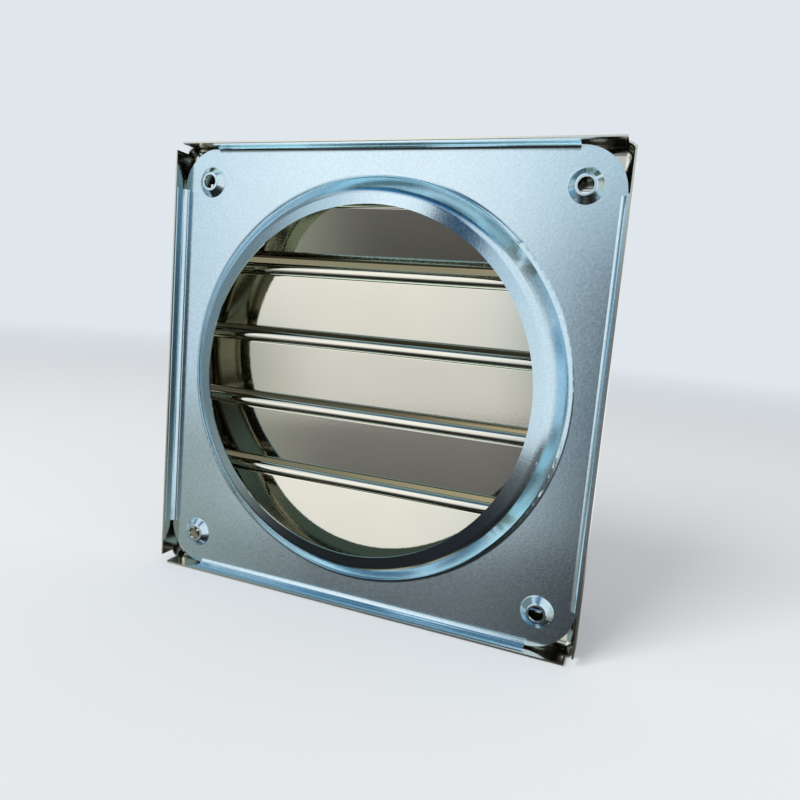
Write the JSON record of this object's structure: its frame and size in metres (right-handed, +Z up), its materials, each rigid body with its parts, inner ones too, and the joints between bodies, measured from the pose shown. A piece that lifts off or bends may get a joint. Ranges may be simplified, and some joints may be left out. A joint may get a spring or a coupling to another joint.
{
  "type": "louvred sheet metal wall vent",
  "caption": "Square sheet metal wall vent: a folded cover with hinged louvre flaps and a nested back plate with a round duct collar.",
  "frame": {"origin": "centre of the four screw holes, in the plane of their boss crowns on the wall side", "axes": "+Y out of the back, into the wall and the duct; the louvred front faces -Y; +Z up; +X to the right seen from the front"},
  "size_m": [0.17, 0.024, 0.17],
  "materials": {
    "stainless_cover": "bright rolled stainless steel, fine grain",
    "zinc_plate": "bluish zinc coat, satin",
    "polished_flap": "bright rolled stainless steel, nearly a mirror",
    "pin_steel": "bright drawn wire"
  },
  "bodies": {
    "housing": {"front_cover": "stainless_cover", "back_plate": "zinc_plate", "pin_1": "pin_steel", "pin_2": "pin_steel", "pin_3": "pin_steel", "pin_4": "pin_steel", "pin_5": "pin_steel"},
    "flap_1": {"flap_1": "polished_flap"},
    "flap_2": {"flap_2": "polished_flap"},
    "flap_3": {"flap_3": "polished_flap"},
    "flap_4": {"flap_4": "polished_flap"},
    "flap_5": {"flap_5": "polished_flap"}
  },
  "joints": [
    {"name": "flap_1_hinge", "type": "hinge", "parent": "housing", "child": "flap_1", "pos_m": [0, -0.0068, 0.0658], "axis": [-1, 0, 0], "range_deg": [-17.5, 54.5]},
    {"name": "flap_2_hinge", "type": "hinge", "parent": "housing", "child": "flap_2", "pos_m": [0, -0.0068, 0.03945], "axis": [-1, 0, 0], "range_deg": [-1.8, 71]},
    {"name": "flap_3_hinge", "type": "hinge", "parent": "housing", "child": "flap_3", "pos_m": [0, -0.0068, 0.0131], "axis": [-1, 0, 0], "range_deg": [-2.9, 70]},
    {"name": "flap_4_hinge", "type": "hinge", "parent": "housing", "child": "flap_4", "pos_m": [0, -0.0068, -0.0132], "axis": [-1, 0, 0], "range_deg": [-3.3, 70]},
    {"name": "flap_5_hinge", "type": "hinge", "parent": "housing", "child": "flap_5", "pos_m": [0, -0.0068, -0.0395], "axis": [-1, 0, 0], "range_deg": [0, 82]}
  ]
}
